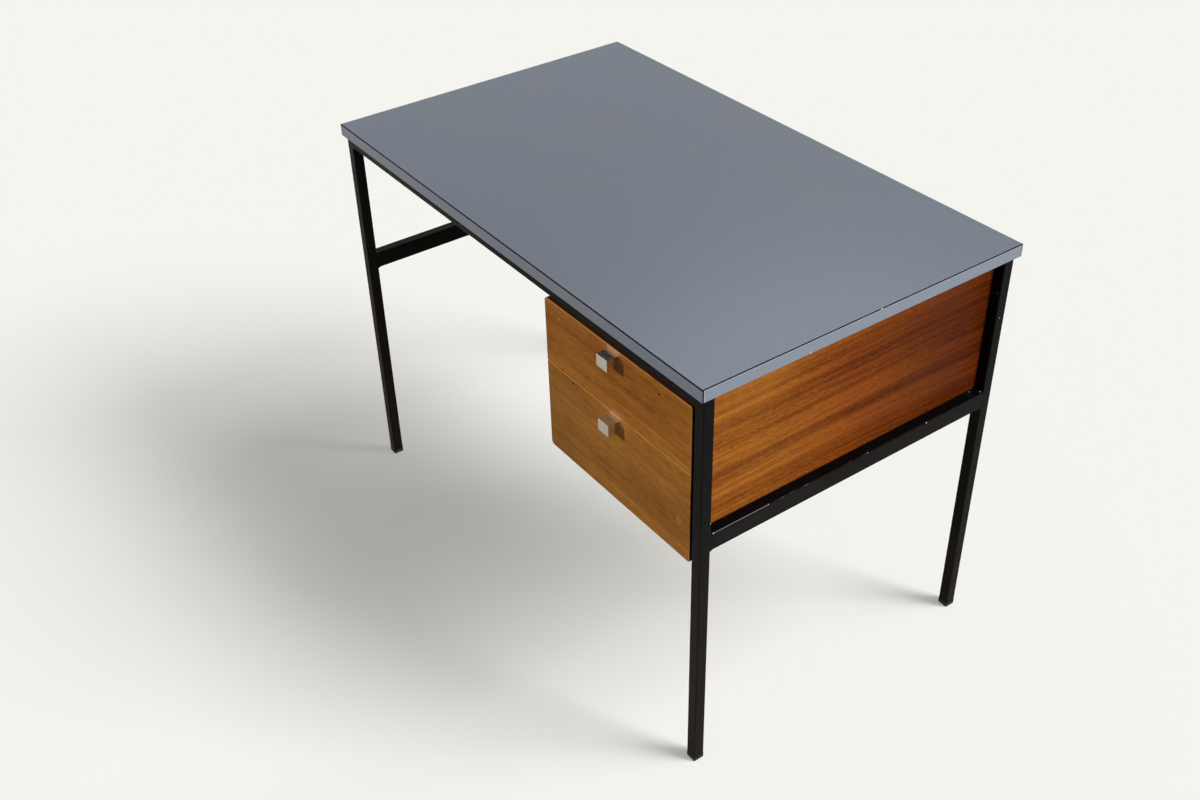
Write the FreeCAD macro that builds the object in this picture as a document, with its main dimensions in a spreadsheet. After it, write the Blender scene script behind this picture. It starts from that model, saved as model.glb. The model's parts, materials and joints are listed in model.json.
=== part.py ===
import FreeCAD
import Part
import os
import re
import Sketcher

os.makedirs("parts", exist_ok=True)

# Writing desk: laminate top on a black welded tube frame, with a two-drawer case at its right end.
# The frame of the part: Z up, origin on the floor under the middle of the whole desk,
# +X towards the drawer end, -Y towards the person who sits at it.

doc = FreeCAD.newDocument("desk")
sheet = doc.addObject("Spreadsheet::Sheet", "Sizes")

# Driving dimensions, in millimetres
sizes = {
    # top
    "top_width": 1016,
    "top_depth": 610,
    "desk_height": 737,
    "top_sheet": 1.5,
    "sheet_bevel": 1,
    "core_board": 19,
    "backing_sheet": 0.9,
    "edge_strip": 1.5,
    "strip_arris": 0.5,
    "side_overhang": 4.8,
    "front_overhang": 7,
    "rear_overhang": 8.5,
    # frame
    "tube": 19,
    "tube_wall": 2,
    "tube_corner": 1.8,
    "weld_radius": 6,
    "weld_inset": 0.5,
    "side_rail_height": 31.4,
    "side_rail_rise": 11.4,
    "foot_height": 9,
    "foot_lip": 0.4,
    "foot_stem": 20,
    "foot_rounding": 1.6,
    "foot_play": 0.2,
    # drawer fronts
    "front_board": 19,
    "front_width": 350,
    "front_leg_gap": 5,
    "front_rail_gap": 7.6,
    "front_seam": 0.8,
    "upper_front_height": 113.6,
    "lower_front_height": 161.6,
    "upper_left_corner": 5,
    "upper_right_corner": 3,
    "lower_left_corner": 7,
    "lower_right_corner": 3,
    "seam_corner": 1.2,
    "front_arris": 0.9,
    # drawer case
    "case_board": 16,
    "case_skirt": 18,
    "case_cover": 6,
    "closed_gap": 0.5,
    "housing_depth": 6,
    "joint_play": 0.1,
    "case_floor": 9,
    "case_floor_rise": 6,
    "case_back": 6,
    "case_lap": 8,
    "stretcher_board": 16,
    "stretcher_width": 60,
    # runners
    "runner_height": 12,
    "runner_board": 7.5,
    "runner_setback": 12,
    "runner_play": 0.3,
    # drawer boxes
    "box_side_gap": 1,
    "box_side": 12,
    "box_back": 10,
    "box_back_inset": 8,
    "box_floor": 5,
    "box_floor_rise": 6,
    "box_rear_gap": 50,
    "box_rise": 10,
    "box_drop": 10,
    "box_under_gap": 3,
    # knobs
    "knob_width": 25.4,
    "knob_height": 20.3,
    "knob_depth": 20,
    "knob_drop": 7,
    "knob_offset": 2,
    "knob_bevel": 0.9,
    # fasteners
    "screw_radius": 2,
    "screw_head_radius": 4,
    "screw_head_height": 2.4,
    "screw_bite": 12,
    "knob_screw_bite": 10,
    "rail_screw_bite": 5,
    "runner_screw_bite": 9,
    "slot_width": 1.1,
    "slot_depth": 0.9,
    "overrun": 1,
}

# Places worked out from the driving dimensions
places = {
    "top_right": "top_width / 2",
    "top_front": "(knob_depth + front_board - tube - front_overhang - top_depth) / 2",
    "top_rear": "top_front + top_depth",
    "under_sheet": "desk_height - top_sheet",
    "under_core": "under_sheet - core_board",
    "under_top": "under_core - backing_sheet",
    "strip_height": "under_sheet - under_top",
    "core_right": "top_right - edge_strip",
    "core_front": "top_front + edge_strip",
    "core_depth": "top_depth - 2 * edge_strip",
    # frame
    "leg_right": "top_right - side_overhang",
    "leg_inner": "leg_right - tube",
    "leg_front": "top_front + front_overhang",
    "leg_rear": "top_rear - rear_overhang",
    "front_rail_back": "leg_front + tube",
    "rear_rail_face": "leg_rear - tube",
    "leg_length": "under_top - foot_height",
    "long_rail_span": "2 * leg_inner",
    "long_rail_level": "under_top - tube",
    "side_rail_span": "rear_rail_face - front_rail_back",
    "tube_bore": "tube - 2 * tube_wall",
    "side_rail_level": "case_level + side_rail_rise",
    "side_rail_middle": "side_rail_level + side_rail_height / 2",
    # drawer fronts
    "front_right": "leg_inner - front_leg_gap",
    "front_left": "front_right - front_width",
    "front_face": "front_rail_back - front_board",
    "upper_front_top": "long_rail_level - front_rail_gap",
    "upper_front_level": "upper_front_top - upper_front_height",
    "lower_front_top": "upper_front_level - front_seam",
    "lower_front_level": "lower_front_top - lower_front_height",
    "knob_middle": "(front_left + front_right) / 2 - knob_offset",
    # case
    "case_front": "front_rail_back + closed_gap",
    "case_rear": "rear_rail_face - closed_gap",
    "side_depth": "case_rear + case_lap - case_front",
    "case_level": "lower_front_level + case_skirt",
    "case_height": "under_top - case_level",
    "notch_level": "long_rail_level - weld_radius - closed_gap",
    "case_left": "front_left + case_cover",
    "inner_left": "case_left + case_board",
    "inner_right": "leg_inner - case_board",
    "inner_width": "inner_right - inner_left",
    "housed_left": "inner_left - housing_depth",
    "housed_width": "inner_width + 2 * housing_depth",
    "case_floor_level": "case_level + case_floor_rise",
    "case_back_face": "case_rear - case_back",
    "stretcher_level": "under_top - stretcher_board",
    # drawer boxes
    "box_left": "inner_left + box_side_gap",
    "box_right": "inner_right - box_side_gap",
    "box_inner_left": "box_left + box_side",
    "box_inner_width": "box_right - box_left - 2 * box_side",
    "box_rear": "case_back_face - box_rear_gap",
    "box_length": "box_rear - front_rail_back",
    "upper_box_level": "upper_front_level + box_rise",
    "upper_box_top": "upper_front_top - box_drop",
    "lower_box_level": "case_floor_level + case_floor + box_under_gap",
    "lower_box_top": "lower_front_top - box_drop",
    # runners
    "runner_front": "case_front + runner_setback",
    "runner_length": "box_length - runner_setback - box_back_inset",
    "runner_slot": "runner_board - box_side_gap + runner_play",
}

# Share of the length at which each screw of a row stands
rail_screw_shares = (0.08, 0.5, 0.92)
stretcher_screw_shares = (0.15, 0.85)
case_screw_shares = (0.1, 0.5, 0.9)
runner_screw_shares = (0.12, 0.88)

# Two places nearer than this count as one
closeness = 0.001

quarter_turn = 90
up = FreeCAD.Rotation()
to_right = FreeCAD.Rotation(FreeCAD.Vector(0, 1, 0), quarter_turn)
to_left = FreeCAD.Rotation(FreeCAD.Vector(0, 1, 0), -quarter_turn)
to_front = FreeCAD.Rotation(FreeCAD.Vector(1, 0, 0), quarter_turn)
along_x = FreeCAD.Rotation(FreeCAD.Vector(0, 0, 1), -quarter_turn)

for row, (name, number) in enumerate(sizes.items(), start=1):
    sheet.set("A%d" % row, name)
    sheet.set("B%d" % row, str(number))
    sheet.setAlias("B%d" % row, name)
for row, (name, formula) in enumerate(places.items(), start=len(sizes) + 1):
    sheet.set("A%d" % row, name)
    sheet.set("B%d" % row, "=" + formula)
    sheet.setAlias("B%d" % row, name)
doc.recompute()

aliases = set(sizes) | set(places)
nodes = []


# Helpers

def full(formula):
    """Return a formula with the sheet's name before each of its aliases."""
    return re.sub(r"[a-z_]+", lambda word: "Sizes." + word[0] if word[0] in aliases else word[0], formula)


def value(formula):
    """Return the number that a formula gives now."""
    return float(sheet.evalExpression(full(formula)))


def bind(thing, **formulas):
    """Tie properties of an object to formulas."""
    for name, formula in formulas.items():
        thing.setExpression(name, full(formula))


def place(thing, x, y, z, turn=up):
    """Turn an object and tie its position to three formulas."""
    thing.Placement = FreeCAD.Placement(FreeCAD.Vector(), turn)
    for axis, formula in zip("xyz", (x, y, z)):
        thing.setExpression("Placement.Base." + axis, full(formula))


def keep(thing, label):
    """Name an object as one piece of the desk."""
    thing.Label = label
    nodes.append(thing)
    return thing


def box(name, x, y, z, width, depth, height):
    """Make a block from its lowest corner and its three sizes."""
    block = doc.addObject("Part::Box", name)
    bind(block, Length=width, Width=depth, Height=height)
    place(block, x, y, z)
    return block


def joined(name, tools):
    """Return one tool made of several."""
    if len(tools) == 1:
        return tools[0]
    union = doc.addObject("Part::MultiFuse", name)
    union.Shapes = tools
    return union


def carve(label, base, tools):
    """Cut tools out of a base and keep the result as a piece."""
    cut = doc.addObject("Part::Cut", label)
    cut.Base = base
    cut.Tool = joined(label + "_cuts", tools)
    return keep(cut, label)


def group(label, things):
    """Keep several like solids as one piece list entry."""
    together = doc.addObject("Part::Compound", label)
    together.Links = things
    return keep(together, label)


def new_body(name):
    """Start a body."""
    return doc.addObject("PartDesign::Body", name)


def new_sketch(body, name, role):
    """Add a sketch on one of a body's origin planes."""
    sketch = body.newObject("Sketcher::SketchObject", name)
    plane = [feature for feature in body.Origin.OriginFeatures if feature.Role == role][0]
    sketch.AttachmentSupport = [(plane, "")]
    sketch.MapMode = "FlatFace"
    return sketch


def pin_point(sketch, geometry, end, x, y):
    """Hold one point of a sketch at a distance from the sketch's origin along x, y or both."""
    for kind, formula in (("DistanceX", x), ("DistanceY", y)):
        if formula is None:
            continue
        index = sketch.addConstraint(Sketcher.Constraint(kind, -1, 1, geometry, end, value(formula)))
        sketch.setExpression("Constraints[%d]" % index, full(formula))


def outline(sketch, corners):
    """Draw a closed outline. A corner is (x, y), or (x, y, centre x, centre y) where an arc leads to it."""
    count = len(corners)
    first = sketch.GeometryCount
    points = [FreeCAD.Vector(value(corner[0]), value(corner[1]), 0) for corner in corners]
    ends = []
    for index in range(count):
        start, end = points[index], points[(index + 1) % count]
        target = corners[(index + 1) % count]
        if len(target) == 2:
            sketch.addGeometry(Part.LineSegment(start, end))
            ends.append((1, 2))
            continue
        centre = FreeCAD.Vector(value(target[2]), value(target[3]), 0)
        middle = centre + ((start + end) / 2 - centre).normalize() * (end - centre).Length
        sketch.addGeometry(Part.Arc(start, middle, end))
        turns_left = (start - centre).cross(end - centre).z > 0
        ends.append((1, 2) if turns_left else (2, 1))
        pin_point(sketch, first + index, 3, target[2], None)
    for index, corner in enumerate(corners):
        following = (index + 1) % count
        pin_point(sketch, first + index, ends[index][0], corner[0], corner[1])
        joint = (first + index, ends[index][1], first + following, ends[following][0])
        sketch.addConstraint(Sketcher.Constraint("Coincident", *joint))


def rectangle(sketch, x, y, width, height):
    """Draw a rectangle from its lowest corner and its two sizes."""
    right, top = "%s + %s" % (x, width), "%s + %s" % (y, height)
    outline(sketch, [(x, y), (right, y), (right, top), (x, top)])


def pad(body, sketch, length):
    """Pad a sketch by a formula."""
    feature = body.newObject("PartDesign::Pad", sketch.Name + "_pad")
    feature.Profile = sketch
    bind(feature, Length=length)
    sketch.Visibility = False
    return feature


def ease(body, kind, name, base, wanted, size):
    """Fillet or chamfer the edges of a feature that pass a test."""
    doc.recompute()
    chosen = ["Edge%d" % number for number, edge in enumerate(base.Shape.Edges, start=1) if wanted(edge)]
    feature = body.newObject("PartDesign::" + kind, name)
    feature.Base = (base, chosen)
    bind(feature, **{"Radius" if kind == "Fillet" else "Size": size})
    doc.recompute()
    return feature


def runs_along(edge, axis):
    """Say whether an edge is a straight line along the x, y or z axis."""
    if not isinstance(edge.Curve, Part.Line):
        return False
    direction = (edge.lastVertex().Point - edge.firstVertex().Point).normalize()
    return abs(abs(getattr(direction, axis)) - 1) < closeness


def lies_at(edge, axis, level):
    """Say whether the whole edge lies at one level of the x, y or z axis."""
    return all(abs(getattr(vertex.Point, axis) - level) < closeness for vertex in edge.Vertexes)


def beam(name, x, y, z, width, depth, height):
    """Make a body of the same form as a block, for pieces whose edges are eased."""
    body = new_body(name)
    sketch = new_sketch(body, name + "_plan", "XY_Plane")
    rectangle(sketch, "0", "0", width, depth)
    solid = pad(body, sketch, height)
    place(body, x, y, z)
    return body, solid


def rod(name, radius, start, length):
    """Make a cylinder along its own z axis, from one level."""
    cylinder = doc.addObject("Part::Cylinder", name)
    bind(cylinder, Radius=radius, Height=length)
    place(cylinder, "0", "0", start)
    return cylinder


def sink(name, wide, narrow, height):
    """Make a cone that narrows along its own z axis."""
    cone = doc.addObject("Part::Cone", name)
    bind(cone, Radius1=wide, Radius2=narrow, Height=height)
    return cone


def screw(name, length, x, y, z, turn=up, sunk=False):
    """Make a slotted screw and the hole that it needs. Its own z axis runs from the head to the tip."""
    shank = rod(name + "_shank", "screw_radius", "0", length)
    cutters = [rod(name + "_bore", "screw_radius + joint_play", "-overrun", length + " + 2 * overrun")]
    if sunk:
        head_top = "0"
        head = sink(name + "_head", "screw_head_radius", "screw_radius", "screw_head_height")
        wide, narrow = "screw_head_radius + joint_play", "screw_radius + joint_play"
        cutters.append(sink(name + "_sink", wide, narrow, "screw_head_height"))
    else:
        head_top = "-screw_head_height"
        head = rod(name + "_head", "screw_head_radius", head_top, "screw_head_height")
    slot_sizes = ("2 * screw_head_radius + 2 * overrun", "slot_width", "slot_depth + overrun")
    slot_corner = ("-screw_head_radius - overrun", "-slot_width / 2", head_top + " - overrun")
    whole = doc.addObject("Part::Cut", name)
    whole.Base = joined(name + "_blank", [shank, head])
    whole.Tool = box(name + "_slot", *slot_corner, *slot_sizes)
    hole = doc.addObject("Part::Compound", name + "_hole")
    hole.Links = [joined(name + "_cutters", cutters)]
    for thing in (whole, hole):
        place(thing, x, y, z, turn)
    return whole, hole


def row_of_screws(name, shares, length, x, y, z, turn=up, sunk=False):
    """Make one screw for each share. The share goes in where a place says SHARE."""
    made = []
    for number, share in enumerate(shares, start=1):
        spot = [formula.replace("SHARE", str(share)) for formula in (x, y, z)]
        made.append(screw("%s_%d" % (name, number), length, *spot, turn=turn, sunk=sunk))
    return [pair[0] for pair in made], [pair[1] for pair in made]


def recess(name, x, y, z, width, depth, height):
    """Make the cutter for a board of this place and size, with a little room all round."""
    corner = [formula + " - joint_play" for formula in (x, y, z)]
    grown = [formula + " + 2 * joint_play" for formula in (width, depth, height)]
    return box(name, *corner, *grown)


# Rows of screws, made first because the boards and tubes take their holes from them

rail_screws, rail_holes = {}, {}
for side, y in (("front", "leg_front + tube / 2"), ("rear", "rear_rail_face + tube / 2")):
    rail_screws[side], rail_holes[side] = row_of_screws(
        "top_rail_screw_" + side, rail_screw_shares, "tube + backing_sheet + screw_bite",
        "long_rail_span * SHARE - leg_inner", y, "long_rail_level")
group("top_rail_screws", rail_screws["front"] + rail_screws["rear"])

stretcher_fronts = {"front": "case_front", "rear": "case_back_face - stretcher_width"}
case_screws, case_holes = {}, {}
for side, y in stretcher_fronts.items():
    case_screws[side], case_holes[side] = row_of_screws(
        "case_top_screw_" + side, stretcher_screw_shares, "stretcher_board + backing_sheet + screw_bite",
        "inner_left + inner_width * SHARE", y + " + stretcher_width / 2", "stretcher_level")
group("case_top_screws", case_screws["front"] + case_screws["rear"])

side_screws, side_holes = row_of_screws(
    "case_rail_screw", case_screw_shares, "case_board + rail_screw_bite",
    "inner_right", "front_rail_back + side_rail_span * SHARE", "side_rail_middle", turn=to_right, sunk=True)
group("case_rail_screws", side_screws)

runner_middles = {
    "upper": "(upper_box_level + upper_box_top) / 2",
    "lower": "(lower_box_level + lower_box_top) / 2",
}
runner_screws, runner_holes = [], {"left": [], "right": []}
runner_faces = {
    "left": ("inner_left + runner_board", to_left),
    "right": ("inner_right - runner_board", to_right),
}
for drawer, z in runner_middles.items():
    for side, (x, turn) in runner_faces.items():
        screws, holes = row_of_screws(
            "runner_screw_%s_%s" % (drawer, side), runner_screw_shares, "runner_board + runner_screw_bite",
            x, "runner_front + runner_length * SHARE", z, turn=turn, sunk=True)
        runner_screws += screws
        runner_holes[side] += holes
group("runner_screws", runner_screws)


# The top: a board faced with laminate, with laminate strips on its four edges

body, solid = beam(
    "top_sheet", "-top_right", "top_front", "under_sheet", "top_width", "top_depth", "top_sheet")
ease(body, "Chamfer", "top_sheet_bevel", solid,
     lambda edge: lies_at(edge, "z", value("top_sheet")), "sheet_bevel")
keep(body, "top_sheet")

top_holes = rail_holes["front"] + rail_holes["rear"] + case_holes["front"] + case_holes["rear"]
top_boards = {"top_core": ("under_core", "core_board"), "top_backing": ("under_top", "backing_sheet")}
for name, (level, thickness) in top_boards.items():
    spot = ("-core_right", "core_front", level, "2 * core_right", "core_depth", thickness)
    carve(name, box(name + "_board", *spot), top_holes)

strips = {
    "edge_strip_front": ("-top_right", "top_front", "top_width", "edge_strip", "y", "0"),
    "edge_strip_rear": ("-top_right", "top_rear - edge_strip", "top_width", "edge_strip", "y", "edge_strip"),
    "edge_strip_left": ("-top_right", "core_front", "edge_strip", "core_depth", "x", "0"),
    "edge_strip_right": ("core_right", "core_front", "edge_strip", "core_depth", "x", "edge_strip"),
}
for name, (x, y, width, depth, outward, face) in strips.items():
    body, solid = beam(name, x, y, "under_top", width, depth, "strip_height")
    ease(body, "Chamfer", name + "_arris", solid,
         lambda edge: lies_at(edge, "z", 0) and lies_at(edge, outward, value(face)), "strip_arris")
    keep(body, name)


# The frame: square tube legs on plastic feet, with welded rails between them

def leg(name, x, y):
    """Make a leg and return its solid outer form, which the rails' ends are cut to."""
    body, solid = beam(name + "_blank", x, y, "foot_height", "tube", "tube", "leg_length")
    ease(body, "Fillet", name + "_corners", solid, lambda edge: runs_along(edge, "z"), "tube_corner")
    bore_corner = (x + " + tube_wall", y + " + tube_wall", "foot_height - overrun")
    bore = box(name + "_bore", *bore_corner, "tube_bore", "tube_bore", "leg_length + 2 * overrun")
    carve(name, body, [bore])
    return body


def foot(name, x, y):
    """Make a cap under a leg, with a stem that fits up into the tube."""
    cap_width = "tube + 2 * foot_lip"
    body, cap = beam(name, x + " - foot_lip", y + " - foot_lip", "0", cap_width, cap_width, "foot_height")
    cap = ease(body, "Fillet", name + "_corners", cap,
               lambda edge: runs_along(edge, "z"), "tube_corner + foot_lip")
    ease(body, "Fillet", name + "_rounding", cap, lambda edge: lies_at(edge, "z", 0), "foot_rounding")
    stem = new_sketch(body, name + "_stem", "XY_Plane")
    bind(stem, **{"AttachmentOffset.Base.z": "foot_height"})
    inset, stem_width = "foot_lip + tube_wall + foot_play", "tube_bore - 2 * foot_play"
    rectangle(stem, inset, inset, stem_width, stem_width)
    pad(body, stem, "foot_stem")
    keep(body, name)


def weld(sketch, root_x, corner_x, inner_x, rail_z, tip_z, root_z):
    """Draw one rounded weld in the corner of a leg and a rail, rooted in both."""
    outline(sketch, [
        (root_x, tip_z), (corner_x, tip_z), (inner_x, rail_z, inner_x, tip_z),
        (inner_x, root_z), (root_x, root_z),
    ])


def rail(name, length, height, x, y, z, cutters, weld_above=False, turn=up):
    """Make a tube between two legs, with its ends cut to them and rounded welds in its corners."""
    body = new_body(name + "_blank")
    section = new_sketch(body, name + "_side", "YZ_Plane")
    rectangle(section, "0", "0", length + " + 2 * tube_corner", height)
    solid = pad(body, section, "tube")
    ease(body, "Fillet", name + "_edges", solid, lambda edge: runs_along(edge, "y"), "tube_corner")
    near, far = "tube_corner", "tube_corner + " + length
    welds = new_sketch(body, name + "_welds", "YZ_Plane")
    bind(welds, **{"AttachmentOffset.Base.z": "weld_inset"})
    corners = (("0", near, near + " + weld_radius"), (far + " + tube_corner", far, far + " - weld_radius"))
    for spot in corners:
        weld(welds, *spot, "0", "-weld_radius", "tube_wall")
        if weld_above:
            weld(welds, *spot, height, height + " + weld_radius", height + " - tube_wall")
    pad(body, welds, "tube - 2 * weld_inset")
    place(body, x, y, z, turn)
    carve(name, body, cutters)


leg_places_x = {"left": "-leg_right", "right": "leg_inner"}
leg_places_y = {"front": "leg_front", "rear": "rear_rail_face"}
legs = {}
for end, y in leg_places_y.items():
    for side, x in leg_places_x.items():
        legs[end, side] = leg("leg_%s_%s" % (end, side), x, y)
        foot("foot_%s_%s" % (end, side), x, y)

for end, y in leg_places_y.items():
    bore_corner = ("-leg_inner - overrun", y + " + tube_wall", "long_rail_level + tube_wall")
    bore_sizes = ("long_rail_span + 2 * overrun", "tube_bore", "tube_bore")
    cutters = [legs[end, "left"], legs[end, "right"], box("rail_%s_bore" % end, *bore_corner, *bore_sizes)]
    rail("rail_" + end, "long_rail_span", "tube", "-leg_inner - tube_corner", y + " + tube",
         "long_rail_level", cutters + rail_holes[end], turn=along_x)

for side, x in leg_places_x.items():
    bore_corner = (x + " + tube_wall", "front_rail_back - overrun", "side_rail_level + tube_wall")
    bore_sizes = ("tube_bore", "side_rail_span + 2 * overrun", "side_rail_height - 2 * tube_wall")
    cutters = [legs["front", side], legs["rear", side], box("rail_%s_bore" % side, *bore_corner, *bore_sizes)]
    if side == "right":
        cutters += side_holes
    rail("rail_" + side, "side_rail_span", "side_rail_height", x, "front_rail_back - tube_corner",
         "side_rail_level", cutters, weld_above=True)


# The drawer case: boards housed in two sides, hung under the top and screwed to the right rail.
# The sides run on past the back, beside the rear leg, and are notched for the rear rail and its weld.

case_boards = {
    "case_floor": (
        "housed_left", "case_front", "case_floor_level",
        "housed_width", "case_back_face - case_front", "case_floor"),
    "case_back": (
        "housed_left", "case_back_face", "case_level", "housed_width", "case_back", "case_height"),
}
for end, y in stretcher_fronts.items():
    case_boards["case_stretcher_" + end] = (
        "housed_left", y, "stretcher_level", "housed_width", "stretcher_width", "stretcher_board")

for name, spot in case_boards.items():
    if name.startswith("case_stretcher"):
        carve(name, box(name + "_board", *spot), case_holes[name.rsplit("_", 1)[1]])
    else:
        keep(box(name, *spot), name)

for side, x in (("left", "case_left"), ("right", "inner_right")):
    name = "case_side_" + side
    board = box(name + "_board", x, "case_front", "case_level", "case_board", "side_depth", "case_height")
    cutters = [recess("%s_for_%s" % (name, held), *spot) for held, spot in case_boards.items()]
    notch_corner = (x + " - overrun", "case_rear", "notch_level")
    notch_sizes = ("case_board + 2 * overrun", "case_lap + overrun", "under_top - notch_level + overrun")
    cutters.append(box(name + "_notch", *notch_corner, *notch_sizes))
    cutters += runner_holes[side]
    if side == "right":
        cutters += side_holes
    carve(name, board, cutters)

for drawer, middle in runner_middles.items():
    for side, x in (("left", "inner_left"), ("right", "inner_right - runner_board")):
        name = "runner_%s_%s" % (drawer, side)
        corner = (x, "runner_front", middle + " - runner_height / 2")
        strip = box(name + "_strip", *corner, "runner_board", "runner_length", "runner_height")
        carve(name, strip, runner_holes[side])


# The two drawers

def drawer_front(name, level, height, corners, cutters):
    """Make a drawer's front board, with rounded corners and an eased edge round its face.

    corners holds the radii at the left and right of its top edge, then of its bottom edge.
    """
    body = new_body(name + "_blank")
    sketch = new_sketch(body, name + "_face", "XZ_Plane")
    top_left, top_right, low_left, low_right = corners
    low_x, high_x = "front_width - " + low_right, "front_width - " + top_right
    left_z, right_z = height + " - " + top_left, height + " - " + top_right
    outline(sketch, [
        (low_left, "0", low_left, low_left), (low_x, "0"),
        ("front_width", low_right, low_x, low_right), ("front_width", right_z),
        (high_x, height, high_x, right_z), (top_left, height),
        ("0", left_z, top_left, left_z), ("0", low_left),
    ])
    solid = pad(body, sketch, "front_board")
    ease(body, "Fillet", name + "_arris", solid,
         lambda edge: lies_at(edge, "y", -value("front_board")), "front_arris")
    place(body, "front_left", "front_rail_back", level)
    carve(name, body, cutters)


def knob(name, level, cutters):
    """Make a rectangular knob with a bevel round its face."""
    body = new_body(name + "_blank")
    sketch = new_sketch(body, name + "_face", "XZ_Plane")
    rectangle(sketch, "0", "0", "knob_width", "knob_height")
    solid = pad(body, sketch, "knob_depth")
    ease(body, "Chamfer", name + "_bevel", solid,
         lambda edge: lies_at(edge, "y", -value("knob_depth")), "knob_bevel")
    place(body, "knob_middle - knob_width / 2", "front_face", level)
    carve(name, body, cutters)


def drawer(name, front_level, front_top, front_height, corners, level, top):
    """Make a drawer: front, two grooved sides, back, floor, knob and the knob's screw."""
    label = name + "_drawer"
    height = "%s - %s" % (top, level)
    middle = runner_middles[name]
    side_start, side_length = "front_rail_back - housing_depth", "box_length + housing_depth"
    side_x = {"left": "box_left", "right": "box_right - box_side"}
    slot_x = {"left": "box_left - overrun", "right": "box_right - runner_slot"}
    floor_level, floor_end = level + " + box_floor_rise", "box_rear - box_back_inset"
    floor_spot = (
        "box_inner_left - housing_depth", side_start, floor_level,
        "box_inner_width + 2 * housing_depth", floor_end + " - front_rail_back + housing_depth", "box_floor")
    knob_level = front_top + " - knob_drop - knob_height"
    screw_length = "front_board + knob_screw_bite"
    screw_spot = ("knob_middle", "front_rail_back", knob_level + " + knob_height / 2")
    knob_screw, knob_hole = screw(name + "_knob_screw", screw_length, *screw_spot, turn=to_front)

    front_cutters = [recess(label + "_front_for_floor", *floor_spot), knob_hole]
    for side, x in side_x.items():
        part = "%s_side_%s" % (label, side)
        spot = (x, side_start, level, "box_side", side_length, height)
        front_cutters.append(recess("%s_front_for_%s" % (label, side), *spot))
        slot_level = middle + " - runner_height / 2 - runner_play"
        slot_corner = (slot_x[side], "runner_front - runner_play", slot_level)
        slot_sizes = (
            "runner_slot + overrun", "box_rear - runner_front + runner_play + overrun",
            "runner_height + 2 * runner_play")
        cutters = [box(part + "_slot", *slot_corner, *slot_sizes), recess(part + "_for_floor", *floor_spot)]
        carve(part, box(part + "_board", *spot), cutters)
    drawer_front(label + "_front", front_level, front_height, corners, front_cutters)
    back_level = floor_level + " + box_floor"
    back_spot = (
        "box_inner_left", floor_end + " - box_back", back_level,
        "box_inner_width", "box_back", "%s - %s - box_floor_rise - box_floor" % (top, level))
    keep(box(label + "_back", *back_spot), label + "_back")
    keep(box(label + "_floor", *floor_spot), label + "_floor")
    knob(name + "_knob", knob_level, [knob_hole])
    keep(knob_screw, name + "_knob_screw")


drawer("upper", "upper_front_level", "upper_front_top", "upper_front_height",
       ("upper_left_corner", "upper_right_corner", "seam_corner", "seam_corner"),
       "upper_box_level", "upper_box_top")
drawer("lower", "lower_front_level", "lower_front_top", "lower_front_height",
       ("seam_corner", "seam_corner", "lower_left_corner", "lower_right_corner"),
       "lower_box_level", "lower_box_top")


# Checks, then one file for each piece

doc.recompute()
faults = [thing.Name for thing in doc.Objects if {"Invalid", "Error"} & set(thing.State)]
faults += [node.Label for node in nodes if node.Shape.isNull() or not node.Shape.isValid()]
if faults:
    raise SystemExit("Faulty objects: " + ", ".join(faults))
for node in nodes:
    node.Shape.exportStep("parts/%s.step" % node.Label)
print("%d pieces" % len(nodes))
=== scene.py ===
"""Two-drawer writing desk: laminate top, black tube frame and a mahogany drawer case.

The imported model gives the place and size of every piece. This script dresses it: it models the
pieces that show, gives each piece its finish, and sets up the floor, the lights and the camera.
Meshes are in metres. Marks and patches are placed in millimetres, in the desk's own frame.
"""

import json
import logging
import math
from dataclasses import dataclass, replace
from enum import Enum
from functools import cache
from typing import Callable, Iterable

import bmesh
import bpy
from mathutils import Color, Matrix, Vector

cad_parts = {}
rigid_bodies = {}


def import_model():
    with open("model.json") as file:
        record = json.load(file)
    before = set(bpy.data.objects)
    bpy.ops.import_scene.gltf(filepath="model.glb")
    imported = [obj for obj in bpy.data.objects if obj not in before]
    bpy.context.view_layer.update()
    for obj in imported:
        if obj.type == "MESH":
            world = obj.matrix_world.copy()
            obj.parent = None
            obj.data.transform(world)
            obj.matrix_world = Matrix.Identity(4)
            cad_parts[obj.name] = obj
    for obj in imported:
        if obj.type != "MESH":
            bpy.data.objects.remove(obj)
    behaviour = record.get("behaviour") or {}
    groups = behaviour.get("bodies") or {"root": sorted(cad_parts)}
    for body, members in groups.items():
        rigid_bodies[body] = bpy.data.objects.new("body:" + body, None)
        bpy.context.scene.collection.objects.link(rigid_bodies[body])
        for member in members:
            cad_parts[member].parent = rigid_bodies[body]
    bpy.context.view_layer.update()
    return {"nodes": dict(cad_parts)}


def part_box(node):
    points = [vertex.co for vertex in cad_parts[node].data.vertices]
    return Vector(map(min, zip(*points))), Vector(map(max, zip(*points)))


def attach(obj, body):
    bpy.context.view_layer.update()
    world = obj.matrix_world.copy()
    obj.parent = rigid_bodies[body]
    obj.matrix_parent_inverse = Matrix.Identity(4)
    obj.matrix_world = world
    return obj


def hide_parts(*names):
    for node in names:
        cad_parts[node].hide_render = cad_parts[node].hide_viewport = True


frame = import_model()

log = logging.getLogger("desk")

MM = 0.001
Colour = tuple[float, float, float]
Point = tuple[float, float, float]
Span = tuple[float | None, float | None]
Socket = bpy.types.NodeSocket
Material = bpy.types.Material
Piece = bpy.types.Object
Edge = bmesh.types.BMEdge


class Axis(Enum):
    """A direction of the desk's own frame."""

    X = 0
    Y = 1
    Z = 2

    @property
    def vector(self) -> Vector:
        """Return a step of 1 along the axis."""
        return Vector([float(axis is self) for axis in Axis])


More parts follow.
